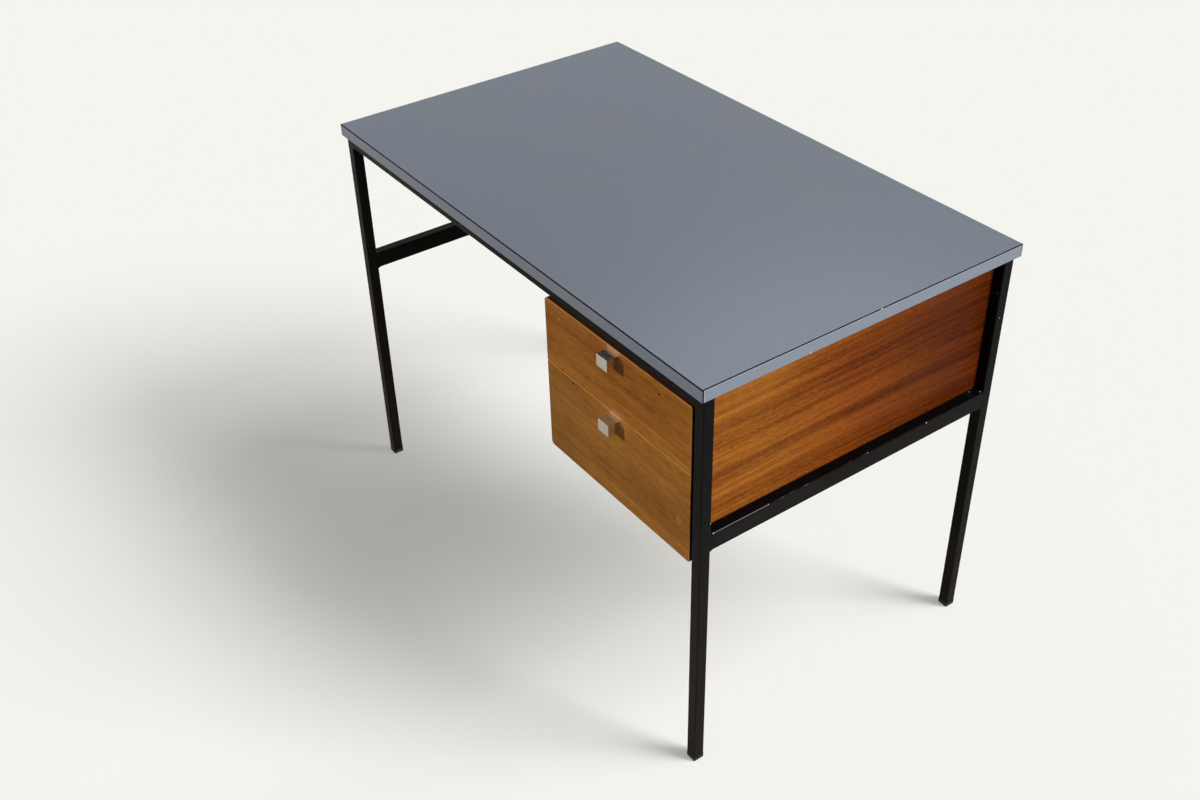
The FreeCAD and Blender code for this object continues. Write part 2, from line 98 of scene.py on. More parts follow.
class Side(Enum):
    """A side of a piece: the axis that it faces along, and which way."""

    LEFT = (Axis.X, -1)
    RIGHT = (Axis.X, 1)
    FRONT = (Axis.Y, -1)
    REAR = (Axis.Y, 1)
    UNDER = (Axis.Z, -1)
    TOP = (Axis.Z, 1)

    def __init__(self, axis: Axis, sign: int) -> None:
        """Keep the axis, the sign of the way along it, and the side's name as the nodes have it."""
        self.axis, self.sign, self.label = axis, sign, self.name.lower()

    @property
    def vector(self) -> Vector:
        """Return a step of 1 towards the side."""
        return self.axis.vector * self.sign

    def of(self, node: str) -> float:
        """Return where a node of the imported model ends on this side, in millimetres."""
        low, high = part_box(node)
        return (high if self.sign > 0 else low)[self.axis.value] / MM


class Rides(Enum):
    """The body that a piece moves with."""

    DESK = "root"
    UPPER = "upper_drawer"
    LOWER = "lower_drawer"


def srgb(red: int, green: int, blue: int) -> Colour:
    """Turn a screen colour, its parts from 0 to 255, into the linear colour that shaders take."""
    return tuple(Color((red / 255, green / 255, blue / 255)).from_srgb_to_scene_linear())


# The numbers of a Mix node's two colour inputs and of its colour output.
MIX_FIRST, MIX_SECOND, MIX_RESULT = 6, 7, 2


class Nodes:
    """A node tree, with short ways to add nodes and links."""

    def __init__(self, tree: bpy.types.NodeTree) -> None:
        """Take the tree that nodes are added to."""
        self.tree = tree

    def node(self, kind: str, inputs: dict[int | str, object], **settings: object) -> bpy.types.Node:
        """Add a node.

        Args:
            kind: The node's type name, without the words that they all start with.
            inputs: What its inputs are fed, by name or number.
            settings: Property values.

        Returns:
            The node.
        """
        made = self.tree.nodes.new("ShaderNode" + kind)
        for key, setting in settings.items():
            setattr(made, key, setting)
        for key, source in inputs.items():
            self.feed(made.inputs[key], source)
        return made

    def feed(self, socket: Socket, source: object) -> None:
        """Link a socket to another, or set its value.

        Args:
            socket: The input socket.
            source: An output socket, a number, a colour or a vector.
        """
        if isinstance(source, Socket):
            self.tree.links.new(source, socket)
        elif socket.type == "RGBA":
            socket.default_value = (*source, 1.0)
        else:
            socket.default_value = source

    def calculate(self, operation: str, first: object, second: object) -> Socket:
        """Return the result of a Math node on two values or sockets."""
        return self.node("Math", {0: first, 1: second}, operation=operation).outputs[0]

    def blend(self, share: object, first: object, second: object, mode: str = "MIX") -> Socket:
        """Mix two colours.

        Args:
            share: How much of the second colour shows.
            first: The first colour.
            second: The second colour, or a value that stands for a grey.
            mode: The way that they mix.

        Returns:
            The mixed colour.
        """
        inputs = {0: share, MIX_FIRST: first, MIX_SECOND: second}
        return self.node("Mix", inputs, data_type="RGBA", blend_type=mode).outputs[MIX_RESULT]

    def seen(self) -> Socket:
        """Tell the rays that show a surface, straight or mirrored, from those that light others.

        Returns:
            1 for a ray that shows it and 0 for another.
        """
        path = self.node("LightPath", {}).outputs
        either = self.calculate("MAXIMUM", path["Is Camera Ray"], path["Is Glossy Ray"])
        return self.calculate("MAXIMUM", either, path["Is Transmission Ray"])


class Shader(Nodes):
    """A material with one Principled shader, and the patterns that the finishes use."""

    def __init__(self, name: str) -> None:
        """Start the material.

        Args:
            name: The material's name.
        """
        self.material = bpy.data.materials.new(name)
        self.material.use_nodes = True
        super().__init__(self.material.node_tree)
        self.surface = next(node for node in self.tree.nodes if node.type == "BSDF_PRINCIPLED")
        self.position = self.node("TexCoord", {}).outputs["Object"]
        self.places = tuple(self.node("SeparateXYZ", {0: self.position}).outputs)

    def finish(self, **sockets: object) -> Material:
        """Feed the Principled shader.

        Args:
            sockets: What its sockets are fed, their names with underscores for spaces.

        Returns:
            The material.
        """
        for key, source in sockets.items():
            self.feed(self.surface.inputs[key.replace("_", " ")], source)
        return self.material

    def gather(self, *parts: object) -> Socket:
        """Join three values or sockets into a vector."""
        return self.node("CombineXYZ", dict(enumerate(parts))).outputs[0]

    def stretch(self, vector: Socket, scale: Point = (1.0, 1.0, 1.0),
                offset: object = (0.0, 0.0, 0.0)) -> Socket:
        """Scale a vector along each axis, and then add an offset, which may be a socket."""
        return self.node("Mapping", {"Vector": vector, "Scale": scale, "Location": offset}).outputs[0]

    def noise(self, scale: float | Point, detail: float = 2.0, roughness: float = 0.5,
              place: Socket | None = None) -> Socket:
        """Add a cloud pattern.

        Args:
            scale: Its scale per metre, alike all ways or along each axis.
            detail: How many finer octaves it holds.
            roughness: How strong they are.
            place: Where it is read, unless at the position.

        Returns:
            The pattern's value, from 0 to 1.
        """
        vector = place or self.position
        if isinstance(scale, tuple):
            vector, scale = self.stretch(vector, scale), 1.0
        inputs = {"Vector": vector, "Scale": scale, "Detail": detail, "Roughness": roughness}
        return self.node("TexNoise", inputs).outputs[0]

    def fade(self, value: Socket, start: float, end: float, low: float = 0.0,
             high: float = 1.0) -> Socket:
        """Map a value smoothly, so that start becomes low and end becomes high."""
        inputs = {"Value": value, "From Min": start, "From Max": end, "To Min": low, "To Max": high}
        return self.node("MapRange", inputs, interpolation_type="SMOOTHSTEP").outputs[0]

    def ramp(self, value: Socket, stops: Iterable[tuple[float, Colour]]) -> Socket:
        """Colour a value by stops.

        Args:
            value: A value from 0 to 1.
            stops: Each stop's place and colour.

        Returns:
            The colour.
        """
        made = self.node("ValToRGB", {0: value})
        elements = made.color_ramp.elements
        ready = len(elements)
        for index, (place, colour) in enumerate(stops):
            element = elements[index] if index < ready else elements.new(place)
            element.position = place
            element.color = (*colour, 1.0)
        return made.outputs[0]

    def relief(self, height: Socket, depth: float, strength: float) -> Socket:
        """Turn a height, where 1 stands for a depth in metres, into a bumped normal."""
        return self.node("Bump", {"Height": height, "Distance": depth, "Strength": strength}).outputs[0]

    def lay_wear_and_painted_light(self, base: Socket, wear_and_painted_light: Iterable["Mark | Patch"]) -> Socket:
        """Lay patches and marks over a colour: scuffs, chips, and painted light and shade.

        Args:
            base: The colour.
            wear_and_painted_light: The patches and marks, in order.

        Returns:
            The colour with them laid over.
        """
        for layer in wear_and_painted_light:
            base = self.blend(layer.mask(self), base, layer.colour)
        return base


@dataclass(frozen=True)
class Mark:
    """A small ragged mark: its middle and radius in millimetres, and its colour.

    Its outline has lumps, so many to a radius and so ragged, and fades out over its rim, which is
    given in shares of the radius. A squeeze below 1 makes it longer that way.
    """

    centre: Point
    radius: float
    colour: Colour
    squeeze: Point = (1.0, 1.0, 1.0)
    lumps: float = 0.9
    ragged: float = 0.5
    rim: Span = (0.75, 1.1)

    def mask(self, shader: Shader) -> Socket:
        """Mask the mark.

        Args:
            shader: The material that it is on.

        Returns:
            1 in the mark and 0 outside.
        """
        radius = self.radius * MM
        centre = tuple(-place * MM * squeeze for place, squeeze in zip(self.centre, self.squeeze))
        away = shader.stretch(shader.position, self.squeeze, centre)
        length = shader.node("VectorMath", {0: away}, operation="LENGTH").outputs["Value"]
        lumps = shader.calculate("SUBTRACT", shader.noise(self.lumps / radius), 0.5)
        shift = shader.calculate("MULTIPLY", lumps, 2 * self.ragged * radius)
        start, end = self.rim
        return shader.fade(shader.calculate("ADD", length, shift), radius * start, radius * end, 1.0, 0.0)


OPEN = (None, None)


@dataclass(frozen=True)
class Patch:
    """A part of a piece in another colour: a box in millimetres, open where it has no bound.

    Its share is how much of the colour shows, and its sides fade over the soft distance. A broken
    patch shows only where a cloud pattern, of so many breaks a metre, is above that value.
    """

    colour: Colour
    x: Span = OPEN
    y: Span = OPEN
    z: Span = OPEN
    share: float = 1.0
    soft: float = 0.3
    broken: float = 0.0
    ragged: float = 0.08
    breaks: Point = (60.0, 60.0, 60.0)

    def mask(self, shader: Shader) -> Socket:
        """Mask the patch.

        Args:
            shader: The material that it is on.

        Returns:
            The patch's share inside it and 0 outside.
        """
        mask = self.share
        if self.broken:
            clumps = shader.noise(self.breaks, 3.0, 0.6)
            kept = shader.fade(clumps, self.broken - self.ragged, self.broken + self.ragged)
            mask = shader.calculate("MULTIPLY", mask, kept)
        for place, span in zip(shader.places, (self.x, self.y, self.z)):
            for bound, before, after in zip(span, (0.0, 1.0), (1.0, 0.0)):
                if bound is not None:
                    start, end = (bound - self.soft) * MM, (bound + self.soft) * MM
                    mask = shader.calculate("MULTIPLY", mask, shader.fade(place, start, end, before, after))
        return mask


# Patches and marks laid over a finish's colour: scuffs, chips, marks, and painted light and shade.
WearAndPaintedLight = tuple[Mark | Patch, ...]

# The values of a cloud pattern: its core, most of it, nearly all of it, and its peaks.
CORE = (0.35, 0.65)
MOST = (0.3, 0.7)
WHOLE = (0.2, 0.8)
PEAKS = (0.58, 0.70)


@dataclass(frozen=True)
class Laminate:
    """Satin decorative laminate, plain in colour with a faint cloudy mottling."""

    name: str = "laminate"
    face: Colour = srgb(113, 123, 138)
    warm: Colour = srgb(115, 123, 136)
    clouds: float = 9.0
    flecks: float = 240.0
    texture: float = 0.03 * MM
    roughness: float = 0.19
    specular: float = 0.1
    wear_and_painted_light: WearAndPaintedLight = ()

    @cache
    def material(self) -> Material:
        """Return the material."""
        shader = Shader(self.name)
        clouds = shader.noise(self.clouds, 3.0, 0.55)
        flecks = shader.noise(self.flecks, 3.0, 0.6)
        base = shader.blend(shader.fade(clouds, *CORE), self.face, self.warm)
        base = shader.blend(1.0, base, shader.fade(flecks, *WHOLE, 0.95, 1.05), "MULTIPLY")
        return shader.finish(
            Base_Color=shader.lay_wear_and_painted_light(base, self.wear_and_painted_light),
            Roughness=shader.fade(flecks, *WHOLE, self.roughness - 0.01, self.roughness + 0.01),
            Normal=shader.relief(flecks, self.texture, 0.4), Specular_IOR_Level=self.specular)


@dataclass(frozen=True)
class Phenolic:
    """The near-black edge of the laminate, where its layers of resin and paper show."""

    name: str = "phenolic_edge"
    dark: Colour = srgb(10, 8, 16)
    light: Colour = srgb(26, 22, 34)
    layers: Point = (12.0, 12.0, 1800.0)
    texture: float = 0.05 * MM
    roughness: float = 0.6
    specular: float = 0.03
    wear_and_painted_light: WearAndPaintedLight = ()

    @cache
    def material(self) -> Material:
        """Return the material."""
        shader = Shader(self.name)
        layers = shader.noise(self.layers)
        base = shader.ramp(layers, zip(CORE, (self.dark, self.light)))
        return shader.finish(
            Base_Color=shader.lay_wear_and_painted_light(base, self.wear_and_painted_light), Roughness=self.roughness,
            Normal=shader.relief(layers, self.texture, 0.6), Specular_IOR_Level=self.specular)


@dataclass(frozen=True)
class Enamel:
    """Satin black enamel on steel, a little uneven, with chips, and painted light and shade."""

    name: str = "black_enamel"
    black: Colour = srgb(11, 11, 11)
    grey: Colour = srgb(16, 16, 16)
    clouds: float = 30.0
    peel: float = 420.0
    texture: float = 0.04 * MM
    roughness: float = 0.36
    specular: float = 0.03
    wear_and_painted_light: WearAndPaintedLight = ()

    @cache
    def material(self) -> Material:
        """Return the material."""
        shader = Shader(self.name)
        clouds = shader.noise(self.clouds, 3.0, 0.6)
        peel = shader.noise(self.peel)
        base = shader.ramp(clouds, zip(MOST, (self.black, self.grey)))
        return shader.finish(
            Base_Color=shader.lay_wear_and_painted_light(base, self.wear_and_painted_light),
            Roughness=shader.fade(clouds, *MOST, self.roughness - 0.05, self.roughness + 0.07),
            Normal=shader.relief(peel, self.texture, 0.35), Specular_IOR_Level=self.specular)


@dataclass(frozen=True)
class Figure:
    """One layer of a wood's figure.

    It has so many changes a metre along the run of the grain and across it, and adds to the tone
    from its start to its end, as its cloud pattern goes from the low value to the high one.
    """

    run: float
    across: float
    start: float
    end: float
    low: float = 0.3
    high: float = 0.7
    detail: float = 2.0


@dataclass(frozen=True)
class Shade:
    """A tint that comes in along the grain, from its start to its end in millimetres."""

    colour: Colour
    start: float
    end: float


@dataclass(frozen=True)
class Wood:
    """Straight-grained wood under satin lacquer: layers of figure, pores, tints, patches, some of them
    painted light and shade, and marks.
    """

    name: str
    along: Axis
    pale: Colour
    middle: Colour
    deep: Colour
    figures: tuple[Figure, ...]
    sway: float = 10.0
    sway_scale: Point = (1.6, 6.0, 6.0)
    pores: float = 0.4
    fibre_scale: Point = (40.0, 1900.0, 1900.0)
    pore_scale: Point = (170.0, 2600.0, 2600.0)
    texture: float = 0.05 * MM
    roughness: float = 0.38
    specular: float = 0.03
    tint: Colour = (1.0, 0.62, 0.30)
    offset: Point = (0.0, 0.0, 0.0)
    shades: tuple[Shade, ...] = ()
    wear_and_painted_light: WearAndPaintedLight = ()

    def grain_space(self, shader: Shader) -> Socket:
        """Turn the position so that its first part runs along the grain, and sway it a little.

        Args:
            shader: The material that holds it.

        Returns:
            The turned position.
        """
        order = (0, 2, 1) if self.along is Axis.X else (1, 2, 0)
        turned = shader.gather(*(shader.places[index] for index in order))
        placed = shader.stretch(turned, offset=self.offset)
        wander = shader.noise(self.sway_scale, place=placed)
        drift = shader.fade(wander, *WHOLE, -self.sway * MM, self.sway * MM)
        return shader.stretch(placed, offset=shader.gather(0.0, drift, 0.0))

    @cache
    def material(self) -> Material:
        """Return the material."""
        shader = Shader(self.name)
        grain = self.grain_space(shader)
        tone = 0.5
        for figure in self.figures:
            scale = (figure.run, figure.across, figure.across)
            layer = shader.noise(scale, figure.detail, 0.55, grain)
            change = shader.fade(layer, figure.low, figure.high, figure.start, figure.end)
            tone = shader.calculate("ADD", tone, change)
        base = shader.ramp(tone, ((0.0, self.deep), (0.5, self.middle), (1.0, self.pale)))
        for shade in self.shades:
            share = shader.fade(shader.places[self.along.value], shade.start * MM, shade.end * MM)
            base = shader.blend(share, base, shade.colour, "MULTIPLY")
        fibres = shader.noise(self.fibre_scale, place=grain)
        pits = shader.fade(shader.noise(self.pore_scale, 1.0, place=grain), *PEAKS, 0.0, self.pores)
        base = shader.blend(pits, base, self.deep, "MULTIPLY")
        return shader.finish(
            Base_Color=shader.lay_wear_and_painted_light(base, self.wear_and_painted_light),
            Normal=shader.relief(shader.calculate("SUBTRACT", fibres, pits), self.texture, 0.3),
            Roughness=shader.fade(fibres, *WHOLE, self.roughness + 0.05, self.roughness - 0.04),
            Specular_IOR_Level=self.specular, Specular_Tint=self.tint)


@dataclass(frozen=True)
class Metal:
    """Bare or plated metal, with fine brush lines along one axis."""

    name: str
    colour: Colour
    roughness: float
    brush: float = 0.0
    along: Axis = Axis.Z
    metallic: float = 1.0
    line_scale: float = 1400.0
    run_scale: float = 25.0
    smears: float = 160.0
    texture: float = 0.02 * MM

    @cache
    def material(self) -> Material:
        """Return the material."""
        shader = Shader(self.name)
        scale = tuple(self.run_scale if axis is self.along else self.line_scale for axis in Axis)
        lines = shader.noise(scale, 3.0, 0.6)
        smears = shader.noise(self.smears)
        dull = tuple(part * 0.7 for part in self.colour)
        return shader.finish(
            Base_Color=shader.blend(shader.fade(lines, *WHOLE, 0.0, self.brush), self.colour, dull),
            Roughness=shader.fade(smears, *MOST, self.roughness * 0.94, self.roughness * 1.08),
            Normal=shader.relief(lines, self.texture, 0.1 + self.brush), Metallic=self.metallic)


@dataclass(frozen=True)
class Plastic:
    """Moulded plastic with a faint grain and scuffs."""

    name: str
    colour: Colour
    scuffed: Colour
    roughness: float = 0.5
    specular: float = 0.15
    grain: float = 1500.0
    scuffs: float = 120.0
    texture: float = 0.03 * MM

    @cache
    def material(self) -> Material:
        """Return the material."""
        shader = Shader(self.name)
        grain = shader.noise(self.grain)
        scuffs = shader.noise(self.scuffs, 4.0, 0.7)
        return shader.finish(
            Base_Color=shader.ramp(scuffs, ((0.45, self.colour), (0.75, self.scuffed))),
            Roughness=shader.fade(scuffs, *MOST, self.roughness, self.roughness + 0.12),
            Normal=shader.relief(grain, self.texture, 0.4), Specular_IOR_Level=self.specular)


@dataclass(frozen=True)
class ParticleBoard:
    """Raw board of pressed wood chips."""

    name: str
    pale: Colour
    deep: Colour
    roughness: float = 0.85
    specular: float = 0.1
    chips: float = 380.0
    dust: float = 900.0
    texture: float = 0.2 * MM

    @cache
    def material(self) -> Material:
        """Return the material."""
        shader = Shader(self.name)
        cells = shader.node("TexVoronoi", {"Vector": shader.position, "Scale": self.chips})
        share = shader.node("SeparateColor", {0: cells.outputs["Color"]}).outputs[0]
        dust = shader.fade(shader.noise(self.dust, 3.0), *MOST, 0.0, 0.4)
        chips = shader.ramp(share, ((0.0, self.deep), (1.0, self.pale)))
        return shader.finish(
            Base_Color=shader.blend(dust, chips, self.deep), Roughness=self.roughness,
            Normal=shader.relief(share, self.texture, 0.5), Specular_IOR_Level=self.specular)


Finish = Laminate | Phenolic | Enamel | Wood | Metal | Plastic | ParticleBoard

# How far a direction may be off an axis, and a vertex off a place in metres.
OFF_AXIS = 1e-4
OFF_PLACE = 1e-6
# Cosines of a face's direction with another: it leans that way, or faces nearly or fully that way.
LEANS = 0.5
NEARLY = 0.9
FULLY = 0.98


class Form:
    """A mesh under construction, shaped with bmesh operators."""

    def __init__(self, *corners: Vector) -> None:
        """Start a mesh, empty or with a block between two corners."""
        self.mesh = bmesh.new()
        if corners:
            self.block(*corners)

    def block(self, low: Vector, high: Vector) -> None:
        """Add a block between its lowest corner and its highest."""
        place = Matrix.Translation((low + high) / 2) @ Matrix.Diagonal((*(high - low), 1.0))
        bmesh.ops.create_cube(self.mesh, size=1.0, matrix=place)

    def round(self, wanted: Callable[[Edge], bool], radius: float, segments: int) -> None:
        """Round edges over.

        Args:
            wanted: A test that the edges pass.
            radius: The radius.
            segments: How many faces the rounding has.
        """
        edges = [edge for edge in self.mesh.edges if wanted(edge)]
        bmesh.ops.bevel(
            self.mesh, geom=edges, offset=radius, offset_type="OFFSET", segments=segments,
            profile=0.5, affect="EDGES", material=-1, clamp_overlap=True)

    def hollow(self, axis: Axis, wall: float) -> None:
        """Open a bar into a tube, from end to end.

        Args:
            axis: The bar's direction.
            wall: The tube's wall.
        """
        ends = [face for face in self.mesh.faces if squarely(face.normal, axis)]
        for face in ends:
            bmesh.ops.inset_region(self.mesh, faces=[face], thickness=wall, use_even_offset=True)
        rims = [edge for face in ends for edge in face.edges]
        bmesh.ops.delete(self.mesh, geom=ends, context="FACES_ONLY")
        bmesh.ops.bridge_loops(self.mesh, edges=rims)

    def finish(self, name: str) -> Piece:
        """Point the faces outwards and make the mesh an object at the origin.

        Args:
            name: The piece's name.

        Returns:
            The object.
        """
        bmesh.ops.recalc_face_normals(self.mesh, faces=self.mesh.faces)
        data = bpy.data.meshes.new(name)
        self.mesh.to_mesh(data)
        self.mesh.free()
        piece = bpy.data.objects.new(name, data)
        bpy.context.scene.collection.objects.link(piece)
        return piece


def squarely(direction: Vector, axis: Axis) -> bool:
    """Say whether a direction of length 1 lies along an axis."""
    return abs(abs(direction[axis.value]) - 1) < OFF_AXIS


def along(edge: Edge, axis: Axis) -> bool:
    """Say whether an edge runs along an axis."""
    return squarely((edge.verts[1].co - edge.verts[0].co).normalized(), axis)


def level(edge: Edge, axis: Axis, place: float) -> bool:
    """Say whether an edge lies at one place of an axis."""
    return all(abs(vert.co[axis.value] - place) < OFF_PLACE for vert in edge.verts)


def dress(piece: Piece, node: str, finishes: list[Finish], rides: Rides = Rides.DESK,
          sharp: float = 40.0) -> None:
    """Give a new piece its finishes, its shading and its body, and hide the node that it stands for.

    Args:
        piece: The piece.
        node: The node that it stands for.
        finishes: Its finishes.
        rides: The body that it moves with.
        sharp: Edges that turn more than this many degrees stay sharp.
    """
    for finish in finishes:
        piece.data.materials.append(finish.material())
    piece.data.shade_smooth()
    piece.data.set_sharp_from_angle(angle=math.radians(sharp))
    weighted = piece.modifiers.new("even_normals", "WEIGHTED_NORMAL")
    weighted.keep_sharp = True
    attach(piece, rides.value)
    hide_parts(node)
    log.info("%s: %d faces, on %s", piece.name, len(piece.data.polygons), rides.value)


def refinish(finish: Finish, *nodes: str) -> None:
    """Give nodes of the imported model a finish.

    Args:
        finish: The finish.
        nodes: The nodes.
    """
    for node in nodes:
        data = frame["nodes"][node].data
        data.materials.clear()
        data.materials.append(finish.material())
        log.info("%s: carried over in %s", node, finish.name)


# A painted highlight: the pale line along the end strips' top edge and beside their front corner.
PAINTED_EDGE_HIGHLIGHT = srgb(178, 174, 196)
PHENOLIC_BLACK = srgb(18, 16, 24)
STRIP_FRONT = Side.FRONT.of("edge_strip_front")
STRIP_TOP = Side.TOP.of("edge_strip_right")
END_FACE = Side.RIGHT.of("edge_strip_right")
END_FRONT = Side.FRONT.of("edge_strip_right")


@dataclass
class DeskTop:
    """The top: a laminate sheet and four laminate edge strips on a board."""

    sheet_bevel: float = 1.0 * MM
    strip_arris: float = 0.5 * MM
    strip_corner: float = 0.6 * MM
    laminate: Laminate = Laminate(wear_and_painted_light=(
        Patch(PHENOLIC_BLACK, y=(None, STRIP_FRONT + 0.5), z=(STRIP_TOP - 0.8, None),
              share=0.9, soft=0.2),))
    # A lighter copy of the laminate for the end strips: painted light, as the right strip faces the side
    # lamp.
    end_laminate: Laminate = Laminate(
        "end_laminate", srgb(126, 134, 145), srgb(128, 134, 143), wear_and_painted_light=(
            # Painted highlights along the top edge and beside the front corner.
            Patch(PAINTED_EDGE_HIGHLIGHT, x=(END_FACE - 1, None), z=(STRIP_TOP - 1.2, STRIP_TOP + 0.1),
                  share=0.5, soft=0.25),
            Patch(PAINTED_EDGE_HIGHLIGHT, x=(END_FACE - 1, None), y=(END_FRONT + 1, END_FRONT + 2.2),
                  z=(None, STRIP_TOP + 0.1), share=0.6, soft=0.25),
            Patch(PHENOLIC_BLACK, x=(END_FACE - 1, None), y=(None, END_FRONT + 1.1),
                  z=(None, STRIP_TOP + 0.1), share=0.95, soft=0.2),
            Mark((END_FACE, -110.3, STRIP_TOP - 19.1), 1.4, srgb(206, 208, 214))))
    phenolic: Phenolic = Phenolic(wear_and_painted_light=(Mark((END_FACE, 20.6, STRIP_TOP + 0.5), 2.2, srgb(150, 156, 170)),))
    board: ParticleBoard = ParticleBoard("particle_board", srgb(186, 156, 112), srgb(132, 98, 60))
    backing: Plastic = Plastic("backing_sheet", srgb(84, 66, 48), srgb(98, 80, 60), 0.6)

    def build(self) -> None:
        """Build and dress the top."""
        self.sheet()
        for side in (Side.FRONT, Side.REAR, Side.LEFT, Side.RIGHT):
            self.strip(side)
        refinish(self.board, "top_core")
        refinish(self.backing, "top_backing")

    def sheet(self) -> None:
        """Build the sheet, whose edge shows its dark core."""
        low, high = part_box("top_sheet")
        form = Form(low, high)
        form.round(lambda edge: level(edge, Axis.Z, high.z), self.sheet_bevel, segments=2)
        self.cover(form.finish("top_laminate"), Side.TOP, self.laminate, "top_sheet")

    def strip(self, side: Side) -> None:
        """Build one edge strip, with laminate on its outer face.

        Args:
            side: The edge that it covers.
        """
        node = "edge_strip_" + side.label
        low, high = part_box(node)
        outer = side.of(node) * MM
        form = Form(low, high)
        form.round(lambda edge: level(edge, Axis.Z, low.z) and level(edge, side.axis, outer),
                   self.strip_arris, segments=2)
        if side.axis is Axis.Y:
            form.round(lambda edge: along(edge, Axis.Z) and level(edge, Axis.Y, outer),
                       self.strip_corner, segments=2)
        laminate = self.laminate if side.axis is Axis.Y else self.end_laminate
        self.cover(form.finish("edge_band_" + side.label), side, laminate, node)

    def cover(self, piece: Piece, side: Side, laminate: Laminate, node: str) -> None:
        """Dress a piece in laminate on one side, with its dark core all round it.

        Args:
            piece: The piece.
            side: The side that the laminate faces.
            laminate: The laminate.
            node: The node that it stands for.
        """
        for face in piece.data.polygons:
            face.material_index = 0 if face.normal.dot(side.vector) > FULLY else 1
        dress(piece, node, [laminate, self.phenolic], sharp=60.0)


# Bare steel in chips, and the colour of a painted highlight along the right rail's upper edge.
STEEL_CHIP_AND_HIGHLIGHT = srgb(150, 152, 160)
CHIP_WHITE = srgb(190, 192, 196)
# Scuffed enamel, and the colour of a painted sheen on the right rail's outer face.
SCUFF_AND_SHEEN = srgb(44, 45, 48)
WELD = 6.0
STEEL_SIDE = Side.RIGHT.of("rail_right")
RAIL_TOP = Side.TOP.of("rail_right") - WELD
# A painted highlight along the right rail's upper outer edge.
RAIL_ARRIS_HIGHLIGHT = Patch(
    STEEL_CHIP_AND_HIGHLIGHT, x=(STEEL_SIDE - 0.9, None), z=(RAIL_TOP - 0.9, RAIL_TOP + 0.6), soft=0.25)
# Chips round the right rail: colour, radius, x from the rail's outer face, y, and z from its top.
CHIPS = (
    (CHIP_WHITE, 0.8, -0.4, -272.8, 7.7), (CHIP_WHITE, 1.1, -0.4, -267.8, -0.6),
    (CHIP_WHITE, 1.1, -0.3, -165.2, 0.1), (CHIP_WHITE, 1.2, 0.0, 156.6, -1.3),
    (CHIP_WHITE, 1.2, -14.9, 267.7, 0.0), (CHIP_WHITE, 1.4, -4.2, 281.7, 0.6),
    (STEEL_CHIP_AND_HIGHLIGHT, 1.0, -0.4, 31.8, -0.2), (STEEL_CHIP_AND_HIGHLIGHT, 1.0, -1.4, 286.5, -3.3),
    (STEEL_CHIP_AND_HIGHLIGHT, 0.9, -5.5, 284.0, 183.1), (STEEL_CHIP_AND_HIGHLIGHT, 1.1, 0.0, 291.9, 137.7))


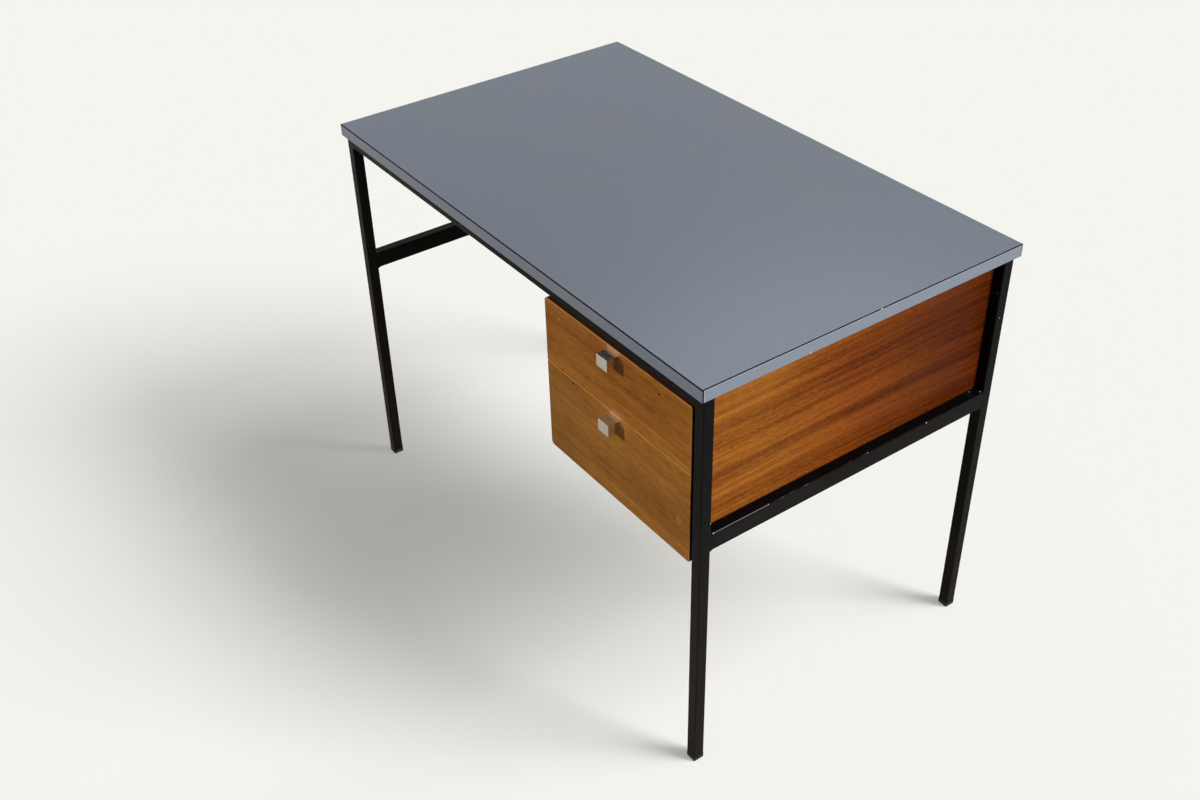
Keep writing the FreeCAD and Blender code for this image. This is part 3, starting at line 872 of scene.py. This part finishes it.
@dataclass
class TubeFrame:
    """The welded frame of square tube, and the plastic feet in its legs."""

    wall: float = 1.5 * MM
    corner: float = 1.8 * MM
    weld: float = WELD * MM
    weld_inset: float = 0.5 * MM
    foot_corner: float = 2.2 * MM
    foot_rounding: float = 1.6 * MM
    foot_height: float = 9 * MM
    stem: float = 7.3 * MM
    enamel: Enamel = Enamel(wear_and_painted_light=(
        # Painted highlight on the right rail's upper edge: strong at the front, broken further back.
        replace(RAIL_ARRIS_HIGHLIGHT, y=(-268.5, -166.0), share=0.75),
        replace(RAIL_ARRIS_HIGHLIGHT, y=(-166.0, 34.0), share=0.35, broken=0.5, breaks=(60.0, 40.0, 60.0)),
        Patch(SCUFF_AND_SHEEN, x=(STEEL_SIDE - 17.2, STEEL_SIDE - 1.2), y=(256.0, 283.0),
              z=(RAIL_TOP - 0.6, None), share=0.4, soft=2.0, broken=0.5, breaks=(90.0, 90.0, 90.0)),
        # Painted sheen: the front part of the right rail's outer face is lighter.
        Patch(SCUFF_AND_SHEEN, x=(STEEL_SIDE - 0.6, None), y=(-262.0, -60.0),
              z=(RAIL_TOP - 25.8, RAIL_TOP - 3.8), share=0.3, soft=12.0),
        # Lighter and browner towards the floor: a painted reflection of the floor.
        Patch(srgb(26, 19, 12), z=(None, 430.0), share=0.7, soft=110.0),
        # Painted shade: the rear right leg and the rail ends at it are darker.
        Patch(srgb(4, 4, 6), x=(480.0, None), y=(281.0, None), share=0.5),
        Mark((STEEL_SIDE - 0.2, -273.1, RAIL_TOP + 20.2), 1.1, CHIP_WHITE, (1.0, 1.0, 0.45)),
        *(Mark((STEEL_SIDE + x, y, RAIL_TOP + z), radius, colour)
          for colour, radius, x, y, z in CHIPS)))
    plastic: Plastic = Plastic("foot_plastic", srgb(20, 20, 20), srgb(44, 44, 44))

    def build(self) -> None:
        """Build and dress the frame."""
        for place in ("front_left", "front_right", "rear_left", "rear_right"):
            self.leg(place)
            self.foot(place)
        for side in (Side.FRONT, Side.REAR, Side.LEFT, Side.RIGHT):
            self.rail(side)

    def bar(self, low: Vector, high: Vector, axis: Axis) -> Form:
        """Make a square tube with rounded corners.

        Args:
            low: Its lowest corner.
            high: Its highest corner.
            axis: Its direction.

        Returns:
            The form.
        """
        form = Form(low, high)
        form.round(lambda edge: along(edge, axis), self.corner, segments=5)
        form.hollow(axis, self.wall)
        return form

    def leg(self, place: str) -> None:
        """Build one leg.

        Args:
            place: Which leg it is.
        """
        node = "leg_" + place
        piece = self.bar(*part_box(node), Axis.Z).finish("tube_" + node)
        dress(piece, node, [self.enamel])

    def rail(self, side: Side) -> None:
        """Build one rail with the welds at its ends: under it, and on a side rail on top as well.

        Args:
            side: Which rail it is.
        """
        node = "rail_" + side.label
        low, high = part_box(node)
        run = Axis.X if side.axis is Axis.Y else Axis.Y
        welded = [Side.UNDER]
        low.z += self.weld
        if run is Axis.Y:
            welded.append(Side.TOP)
            high.z -= self.weld
        form = self.bar(low, high, run)
        for end in (end for end in Side if end.axis is run):
            for face in welded:
                self.add_weld(form, low, high, side.axis, end, face)
        dress(form.finish("tube_" + node), node, [self.enamel])

    def add_weld(self, form: Form, low: Vector, high: Vector, across: Axis, end: Side,
                 face: Side) -> None:
        """Add one rounded weld between a rail and a leg.

        Args:
            form: The rail's form.
            low: The rail's lowest corner.
            high: The rail's highest corner.
            across: The direction of the rail's width.
            end: The rail's end that meets the leg.
            face: The rail's face that the weld is on.
        """
        toward, up = -end.vector, face.vector
        corner = low + across.vector * self.weld_inset
        for side in (end, face):
            if side.sign > 0:
                corner[side.axis.value] = high[side.axis.value]
        start = corner + up * self.weld
        mesh = form.mesh
        older = set(mesh.verts)
        first = mesh.verts.new(start)
        bmesh.ops.spin(mesh, geom=[first], cent=start + toward * self.weld, axis=toward.cross(up),
                       angle=math.pi / 2, steps=5, use_duplicate=False)
        arc = sorted(set(mesh.verts) - older, key=lambda vert: (vert.co - start).length)
        sunk, hidden = up * (self.wall / 2), toward * self.corner
        inner = corner + toward * self.weld - sunk
        loop = arc + [mesh.verts.new(place) for place in (inner, corner - hidden - sunk, start - hidden)]
        made = bmesh.ops.extrude_face_region(mesh, geom=[mesh.faces.new(loop)], use_keep_orig=True)
        moved = [item for item in made["geom"] if isinstance(item, bmesh.types.BMVert)]
        width = (high - low)[across.value] - 2 * self.weld_inset
        bmesh.ops.translate(mesh, verts=moved, vec=across.vector * width)

    def foot(self, place: str) -> None:
        """Build one foot: a rounded cap with a stem up into the tube.

        Args:
            place: Which leg it is under.
        """
        node = "foot_" + place
        low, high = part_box(node)
        cap_top = Vector((high.x, high.y, low.z + self.foot_height))
        form = Form(low, cap_top)
        form.round(lambda edge: along(edge, Axis.Z), self.foot_corner, segments=5)
        form.round(lambda edge: level(edge, Axis.Z, low.z), self.foot_rounding, segments=4)
        middle = (low + high) / 2
        reach = Vector((self.stem, self.stem, 0))
        form.block(Vector((middle.x, middle.y, cap_top.z)) - reach,
                   Vector((middle.x, middle.y, high.z)) + reach)
        dress(form.finish("cap_" + node), node, [self.plastic])


MAHOGANY_DARK = srgb(60, 26, 10)
NAIL_BLACK = srgb(14, 12, 12)
# Painted light: the caustic that a knob's polished top throws onto the wood above it.
PAINTED_CAUSTIC = srgb(188, 147, 116)
CASE_SIDE = Side.RIGHT.of("case_side_right")
FRONT_FACE = Side.FRONT.of("upper_drawer_front")
KNOB_LEFT = Side.LEFT.of("upper_knob")
KNOB_RIGHT = Side.RIGHT.of("upper_knob")
MAHOGANY_FIGURE = (
    Figure(0.8, 20.0, -0.12, 0.12, detail=3.0), Figure(2.2, 75.0, 0.04, -0.10, 0.40),
    Figure(5.0, 300.0, -0.10, 0.09), Figure(9.0, 15.0, -0.08, 0.10, 0.35),
    Figure(60.0, 520.0, -0.15, 0.15))
RIBBON_FIGURE = (
    Figure(0.5, 22.0, -0.16, 0.16, 0.32, 0.68), Figure(1.1, 48.0, 0.08, -0.26, 0.42, 0.68),
    Figure(2.0, 120.0, 0.10, -0.18, 0.35), Figure(4.0, 380.0, -0.16, 0.16),
    Figure(9.0, 24.0, -0.06, 0.06, 0.35), Figure(120.0, 800.0, -0.22, 0.22))
PLAIN_FIGURE = (
    Figure(1.0, 40.0, -0.2, 0.2), Figure(4.0, 260.0, -0.18, 0.18), Figure(60.0, 900.0, -0.08, 0.08))
VENEER_FIGURE = (
    Figure(1.6, 22.0, -0.3, 0.3, detail=3.0), Figure(4.0, 160.0, -0.14, 0.14),
    Figure(60.0, 900.0, -0.08, 0.08))


@dataclass
class DrawerCase:
    """The wooden case under the right end of the top."""

    panel: Wood = Wood(
        "panel_mahogany", Axis.Y, srgb(170, 104, 36), srgb(137, 78, 26), srgb(98, 48, 15),
        RIBBON_FIGURE, sway=8.0, offset=(0.31, 0.17, 0.05),
        # Darker towards the rear and lighter at the top front: partly painted light and shade, as the light
        # falls off from the front, and partly the wood's own tone.
        shades=(Shade((1.0, 0.78, 0.68), -170.0, 30.0), Shade((0.29, 0.215, 0.24), -240.0, 290.0)),
        wear_and_painted_light=(Patch(srgb(178, 114, 44), y=(None, -130.0), z=(640.0, None), share=0.3, soft=50.0),
              Mark((CASE_SIDE, 174.8, RAIL_TOP + 2.6), 2.6, srgb(20, 10, 6)),
              Mark((CASE_SIDE, -74.8, RAIL_TOP + 3.6), 1.0, srgb(190, 140, 96))))
    plain: Wood = Wood(
        "plain_hardwood", Axis.X, srgb(196, 160, 112), srgb(172, 132, 86),
        srgb(138, 98, 58), PLAIN_FIGURE, roughness=0.55)
    ply: Wood = Wood(
        "plywood", Axis.Y, srgb(206, 172, 122), srgb(184, 146, 98), srgb(150, 112, 70),
        VENEER_FIGURE, roughness=0.6)
    runner: Wood = Wood(
        "runner_hardwood", Axis.Y, srgb(190, 152, 100), srgb(164, 124, 78),
        srgb(128, 90, 52), PLAIN_FIGURE, roughness=0.4)
    steel: Metal = Metal("screw_steel", srgb(190, 188, 182), 0.32, 0.3)
    blackened: Metal = Metal("blackened_steel", srgb(44, 42, 40), 0.5, 0.3)

    def build(self) -> None:
        """Dress the case and the screws."""
        refinish(self.panel, "case_side_left", "case_side_right")
        refinish(self.plain, "case_stretcher_front", "case_stretcher_rear")
        refinish(self.ply, "case_floor")
        refinish(replace(self.ply, name="back_plywood", along=Axis.X), "case_back")
        for drawer in ("upper", "lower"):
            refinish(self.runner, "runner_%s_left" % drawer, "runner_%s_right" % drawer)
            refinish(self.steel, drawer + "_knob_screw")
        refinish(self.steel, "case_top_screws", "case_rail_screws", "runner_screws")
        refinish(self.blackened, "top_rail_screws")


@dataclass
class Drawer:
    """One drawer: its front, its box and its knob.

    The front's corners have their own radii: upper left, upper right, lower left and lower right.
    """

    name: str
    rides: Rides
    corners: tuple[float, ...]
    front: Wood
    box: Wood
    base: Wood
    arris: float = 0.9 * MM
    knob_bevel: float = 1.25 * MM
    knob_easing: float = 0.12 * MM
    satin: Metal = Metal("knob_satin", srgb(188, 181, 164), 0.34, 0.3, Axis.Z, 0.7)
    polished: Metal = Metal("knob_polished", srgb(222, 214, 204), 0.18, 0.05, Axis.Y)
    dulled: Metal = Metal("knob_dulled", srgb(206, 208, 212), 0.26, 0.05, Axis.Y, 0.95)
    # Painted shade: a dark metal for the knob's right bevel, standing for the shade that it reflects.
    shaded_bevel: Metal = Metal("knob_tarnished", srgb(30, 22, 12), 0.5, metallic=0.5)

    def build(self) -> None:
        """Build and dress the drawer."""
        self.build_front()
        self.build_knob()
        for part in ("side_left", "side_right", "back"):
            refinish(self.box, "%s_drawer_%s" % (self.name, part))
        refinish(self.base, self.name + "_drawer_floor")

    def build_front(self) -> None:
        """Build the front board, with rounded corners and an eased edge round its face."""
        node = self.name + "_drawer_front"
        low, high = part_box(node)
        form = Form(low, high)
        places = ((low.x, high.z), (high.x, high.z), (low.x, low.z), (high.x, low.z))
        for (x, z), radius in zip(places, self.corners):
            form.round(lambda edge: level(edge, Axis.X, x) and level(edge, Axis.Z, z), radius,
                       segments=8)
        form.round(lambda edge: level(edge, Axis.Y, low.y), self.arris, segments=3)
        dress(form.finish(self.name + "_front_board"), node, [self.front], self.rides)

    def build_knob(self) -> None:
        """Build the knob: a block with a bevel round its face."""
        node = self.name + "_knob"
        low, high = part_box(node)
        form = Form(low, high)
        form.round(lambda edge: along(edge, Axis.Y), self.knob_easing, segments=2)
        form.round(lambda edge: level(edge, Axis.Y, low.y), self.knob_bevel, segments=1)
        piece = form.finish(self.name + "_pull")
        finishes = [self.satin, self.polished, self.dulled, self.shaded_bevel]
        for face in piece.data.polygons:
            face.material_index = finishes.index(self.knob_finish(face.normal))
        dress(piece, node, finishes, self.rides, sharp=30.0)

    def knob_finish(self, normal: Vector) -> Metal:
        """Choose the finish of one face of the knob.

        Args:
            normal: The face's direction.

        Returns:
            Dark on the right bevel as painted shade, polished on the upper bevel and the sides, dulled on
            top, and satin elsewhere.
        """
        upward, forward = normal.z > LEANS, -normal.y
        if forward <= LEANS:
            return self.dulled if upward else self.polished
        if forward < NEARLY and normal.x > LEANS:
            return self.shaded_bevel
        return self.polished if upward else self.satin


def front_wood(drawer: str, offset: Point, middle: Colour, dim: float, patches: tuple[Patch, ...],
               marks: tuple[Mark, ...]) -> Wood:
    """Return the wood of a drawer front, darker on its edges, with painted shade on the faces behind its
    front face and painted highlights along its top and right arrises.

    Args:
        drawer: The drawer's name.
        offset: Where its figure is taken from.
        middle: Its middle colour.
        dim: How bright its left end is beside its right.
        patches: Its own patches, painted light that the knobs throw on it.
        marks: Its marks.

    Returns:
        The wood.
    """
    low, high = (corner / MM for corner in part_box(drawer + "_drawer_front"))
    # Painted shade: the board's faces behind its front face are darkened.
    edge = Patch(srgb(56, 41, 33), y=(low.y + 1.3, None), share=0.9, soft=0.5)
    # Painted highlights: broken pale lines along the top arris and the right arris, where light catches
    # them.
    arris = Patch(srgb(222, 160, 96), y=(None, low.y + 0.9), z=(high.z - 0.9, None), share=0.68,
                  broken=0.38, breaks=(14.0, 60.0, 60.0))
    right = Patch(srgb(206, 150, 90), x=(high.x - 0.7, None), y=(None, low.y + 0.9), share=0.7,
                  broken=0.42, breaks=(60.0, 60.0, 18.0))
    left = Patch(srgb(60, 34, 20), x=(None, low.x + 1.5), share=0.85)
    return Wood(drawer + "_front_mahogany", Axis.X, srgb(178, 122, 54), middle,
                srgb(112, 60, 20), MAHOGANY_FIGURE, offset=offset, pores=0.35,
                shades=(Shade((dim, dim, dim), 340.0, 150.0),),
                wear_and_painted_light=(*patches, left, edge, arris, right, *marks))


def drawers() -> list[Drawer]:
    """Return the two drawers."""
    near_face = (None, FRONT_FACE + 0.5)
    upper_front = front_wood(
        "upper", (0.0, 0.0, 0.0), srgb(148, 95, 34), 0.92,
        patches=(
            # Painted light from this knob's polished top.
            Patch(PAINTED_CAUSTIC, x=(KNOB_LEFT - 1.5, KNOB_RIGHT + 1.1), y=near_face,
                  z=(Side.TOP.of("upper_knob") - 1, None), share=0.85, soft=2.5),
            # Painted light from the lower knob's top, reaching across the seam.
            Patch(PAINTED_CAUSTIC, x=(KNOB_LEFT + 10.5, KNOB_RIGHT + 13.1), y=near_face,
                  z=(None, Side.UNDER.of("upper_drawer_front") + 5.6), share=0.5, soft=5.0)),
        marks=(
            Mark((408.6, FRONT_FACE, 670.5), 2.0, NAIL_BLACK),
            Mark((165.8, FRONT_FACE, 667.0), 1.3, srgb(214, 160, 100)),
            Mark((170.0, FRONT_FACE, 579.0), 1.6, MAHOGANY_DARK)))
    lower_front = front_wood(
        "lower", (0.6, 0.35, 0.0), srgb(140, 95, 39), 0.84,
        patches=(
            # Painted light from this knob's polished top.
            Patch(PAINTED_CAUSTIC, x=(KNOB_LEFT + 1.5, KNOB_RIGHT + 3.1), y=near_face,
                  z=(Side.TOP.of("lower_knob") + 0.8, None), share=0.85, soft=2.0),),
        marks=(
            Mark((131.0, FRONT_FACE, 534.8), 2.4, MAHOGANY_DARK),
            Mark((198.1, FRONT_FACE, 568.5), 2.4, MAHOGANY_DARK),
            Mark((454.5, FRONT_FACE, 475.6), 6.0, srgb(151, 106, 50), (1.0, 1.0, 0.7))))
    box = Wood("drawer_hardwood", Axis.Y, srgb(210, 178, 130), srgb(190, 154, 106),
               srgb(158, 120, 78), PLAIN_FIGURE, roughness=0.5)
    base = Wood("drawer_plywood", Axis.X, srgb(212, 180, 132), srgb(192, 156, 108),
                srgb(160, 122, 80), VENEER_FIGURE, roughness=0.55)
    return [
        Drawer("upper", Rides.UPPER, (5 * MM, 3 * MM, 1.2 * MM, 1.2 * MM), upper_front, box, base),
        Drawer("lower", Rides.LOWER, (1.2 * MM, 1.2 * MM, 7 * MM, 3 * MM), lower_front, box, base)]


class Lights(Enum):
    """What a lamp lights: the collection of that name says which pieces."""

    FLOOR = "floor_alone"
    DESK = "all_but_floor"
    SHEET = "top_alone"
    BELOW = "below_the_top"


@dataclass(frozen=True)
class Lamp:
    """A distant lamp: where its light comes from, its level on a white surface, and its width in degrees.

    It may be left out of mirrored light or of diffused light, and may shine past the legs.
    """

    name: str
    source: Point
    level: float
    spread: float
    lights: Lights
    colour: Colour = (1.0, 1.0, 1.0)
    mirrored: bool = True
    diffused: bool = True
    past_legs: bool = False

    def add(self, receivers: bpy.types.Collection, all_but_legs: bpy.types.Collection) -> None:
        """Add the lamp.

        Args:
            receivers: The collection that it lights.
            all_but_legs: The collection that leaves out the pieces whose shadow a soft lamp loses.
        """
        data = bpy.data.lights.new(self.name, "SUN")
        data.energy = self.level * math.pi
        data.angle = math.radians(self.spread)
        data.color = self.colour
        lamp = bpy.data.objects.new(self.name, data)
        lamp.rotation_euler = Vector(self.source).to_track_quat("Z", "Y").to_euler()
        lamp.light_linking.receiver_collection = receivers
        if self.past_legs:
            lamp.light_linking.blocker_collection = all_but_legs
        lamp.visible_glossy = self.mirrored
        lamp.visible_diffuse = self.diffused
        bpy.context.scene.collection.objects.link(lamp)


# The windows' lamps are doubled: the one for the top isn't mirrored in it.
WINDOWS = (
    ("side_window", (0.945, 0.10, 0.31), 1.15, 30.0, (0.97, 0.99, 1.0)),
    ("front_window", (-0.49, -0.797, 0.354), 0.74, 5.0, (1.0, 0.92, 0.82)))


@dataclass
class Studio:
    """The floor, the lamps, the world and the camera."""

    paper: Colour = srgb(244, 243, 238)
    bounce: Colour = (0.17, 0.15, 0.13)
    ambient: Colour = (0.11, 0.11, 0.11)
    floor_size: float = 60.0
    camera_place: Point = (1.5993, -1.2155, 1.7697)
    camera_forward: Point = (-0.6734, 0.4557, -0.5821)
    camera_up: Point = (-0.4628, 0.3541, 0.8127)
    focal_length: float = 41.18
    sensor_width: float = 36.0
    shift: tuple[float, float] = (0.0111, -0.0139)
    lamps: tuple[Lamp, ...] = (
        Lamp("floor_key", (0.626, 0.486, 0.610), 0.546, 25.3, Lights.FLOOR),
        Lamp("floor_rear", (-0.094, 0.978, 0.184), 1.852, 28.2, Lights.FLOOR, past_legs=True),
        Lamp("floor_high", (0.375, 0.424, 0.824), 0.272, 25.0, Lights.FLOOR),
        *(Lamp(name + where, source, level, spread, lights, colour, mirrored)
          for name, source, level, spread, colour in WINDOWS
          for where, lights, mirrored in (("", Lights.BELOW, True), ("_on_top", Lights.SHEET, False))),
        Lamp("rear_glow", (-0.472, 0.524, 0.710), 0.31, 28.0, Lights.DESK, (0.87, 0.93, 1.0),
             diffused=False),
        Lamp("rear_window", (-0.66, 0.70, 0.27), 0.45, 40.0, Lights.DESK, mirrored=False))

    def build(self) -> None:
        """Set up the studio: each lamp lights the floor, the desk, its top sheet or what is below that."""
        floor, sheet = self.floor(), bpy.data.objects["top_laminate"]
        self.world()
        receivers = {lights: self.group(lights.value, things, state) for lights, things, state in (
            (Lights.FLOOR, [floor], "INCLUDE"), (Lights.DESK, [floor], "EXCLUDE"),
            (Lights.SHEET, [sheet], "INCLUDE"), (Lights.BELOW, [floor, sheet], "EXCLUDE"))}
        slim = [thing for thing in bpy.data.objects if thing.name.startswith(("tube_leg_", "cap_foot_"))]
        all_but_legs = self.group("all_but_legs", slim, "EXCLUDE")
        for lamp in self.lamps:
            lamp.add(receivers[lamp.lights], all_but_legs)
        self.camera()
        bpy.context.scene.view_settings.view_transform = "Standard"

    def floor(self) -> Piece:
        """Build the floor, which looks like pale paper and reflects less light than it shows.

        Returns:
            The floor.
        """
        form = Form()
        bmesh.ops.create_grid(form.mesh, x_segments=1, y_segments=1, size=self.floor_size / 2)
        floor = form.finish("studio_floor")
        shader = Shader("studio_paper")
        colour = shader.blend(shader.seen(), self.bounce, self.paper)
        floor.data.materials.append(shader.finish(Base_Color=colour, Roughness=1.0, Specular_IOR_Level=0.0))
        return floor

    def world(self) -> None:
        """Set the world: pale where it shows, and a plain ambient light elsewhere."""
        world = bpy.data.worlds.new("studio_world")
        bpy.context.scene.world = world
        world.use_nodes = True
        nodes = Nodes(world.node_tree)
        background = next(node for node in nodes.tree.nodes if node.type == "BACKGROUND")
        nodes.feed(background.inputs["Color"], nodes.blend(nodes.seen(), self.ambient, self.paper))

    @staticmethod
    def group(name: str, things: list[Piece], state: str) -> bpy.types.Collection:
        """Return a collection for light linking.

        Args:
            name: Its name.
            things: What it holds.
            state: Whether it stands for them, INCLUDE, or for everything else, EXCLUDE.

        Returns:
            The collection.
        """
        made = bpy.data.collections.new(name)
        for thing in things:
            made.objects.link(thing)
        for member in made.collection_objects:
            member.light_linking.link_state = state
        return made

    def camera(self) -> None:
        """Place the camera where the photograph was taken."""
        data = bpy.data.cameras.new("camera")
        data.sensor_fit = "HORIZONTAL"
        data.sensor_width = self.sensor_width
        data.lens = self.focal_length
        data.shift_x, data.shift_y = self.shift
        camera = bpy.data.objects.new("camera", data)
        back = -Vector(self.camera_forward).normalized()
        right = Vector(self.camera_up).cross(back).normalized()
        turn = Matrix((right, back.cross(right), back)).transposed()
        camera.matrix_world = Matrix.Translation(self.camera_place) @ turn.to_4x4()
        bpy.context.scene.collection.objects.link(camera)
        bpy.context.scene.camera = camera


def main() -> None:
    """Build the desk and its studio."""
    logging.basicConfig(level=logging.INFO, format="%(name)s: %(message)s")
    DeskTop().build()
    TubeFrame().build()
    DrawerCase().build()
    for drawer in drawers():
        drawer.build()
    Studio().build()
    bpy.context.view_layer.update()


if __name__ == "__main__":
    main()
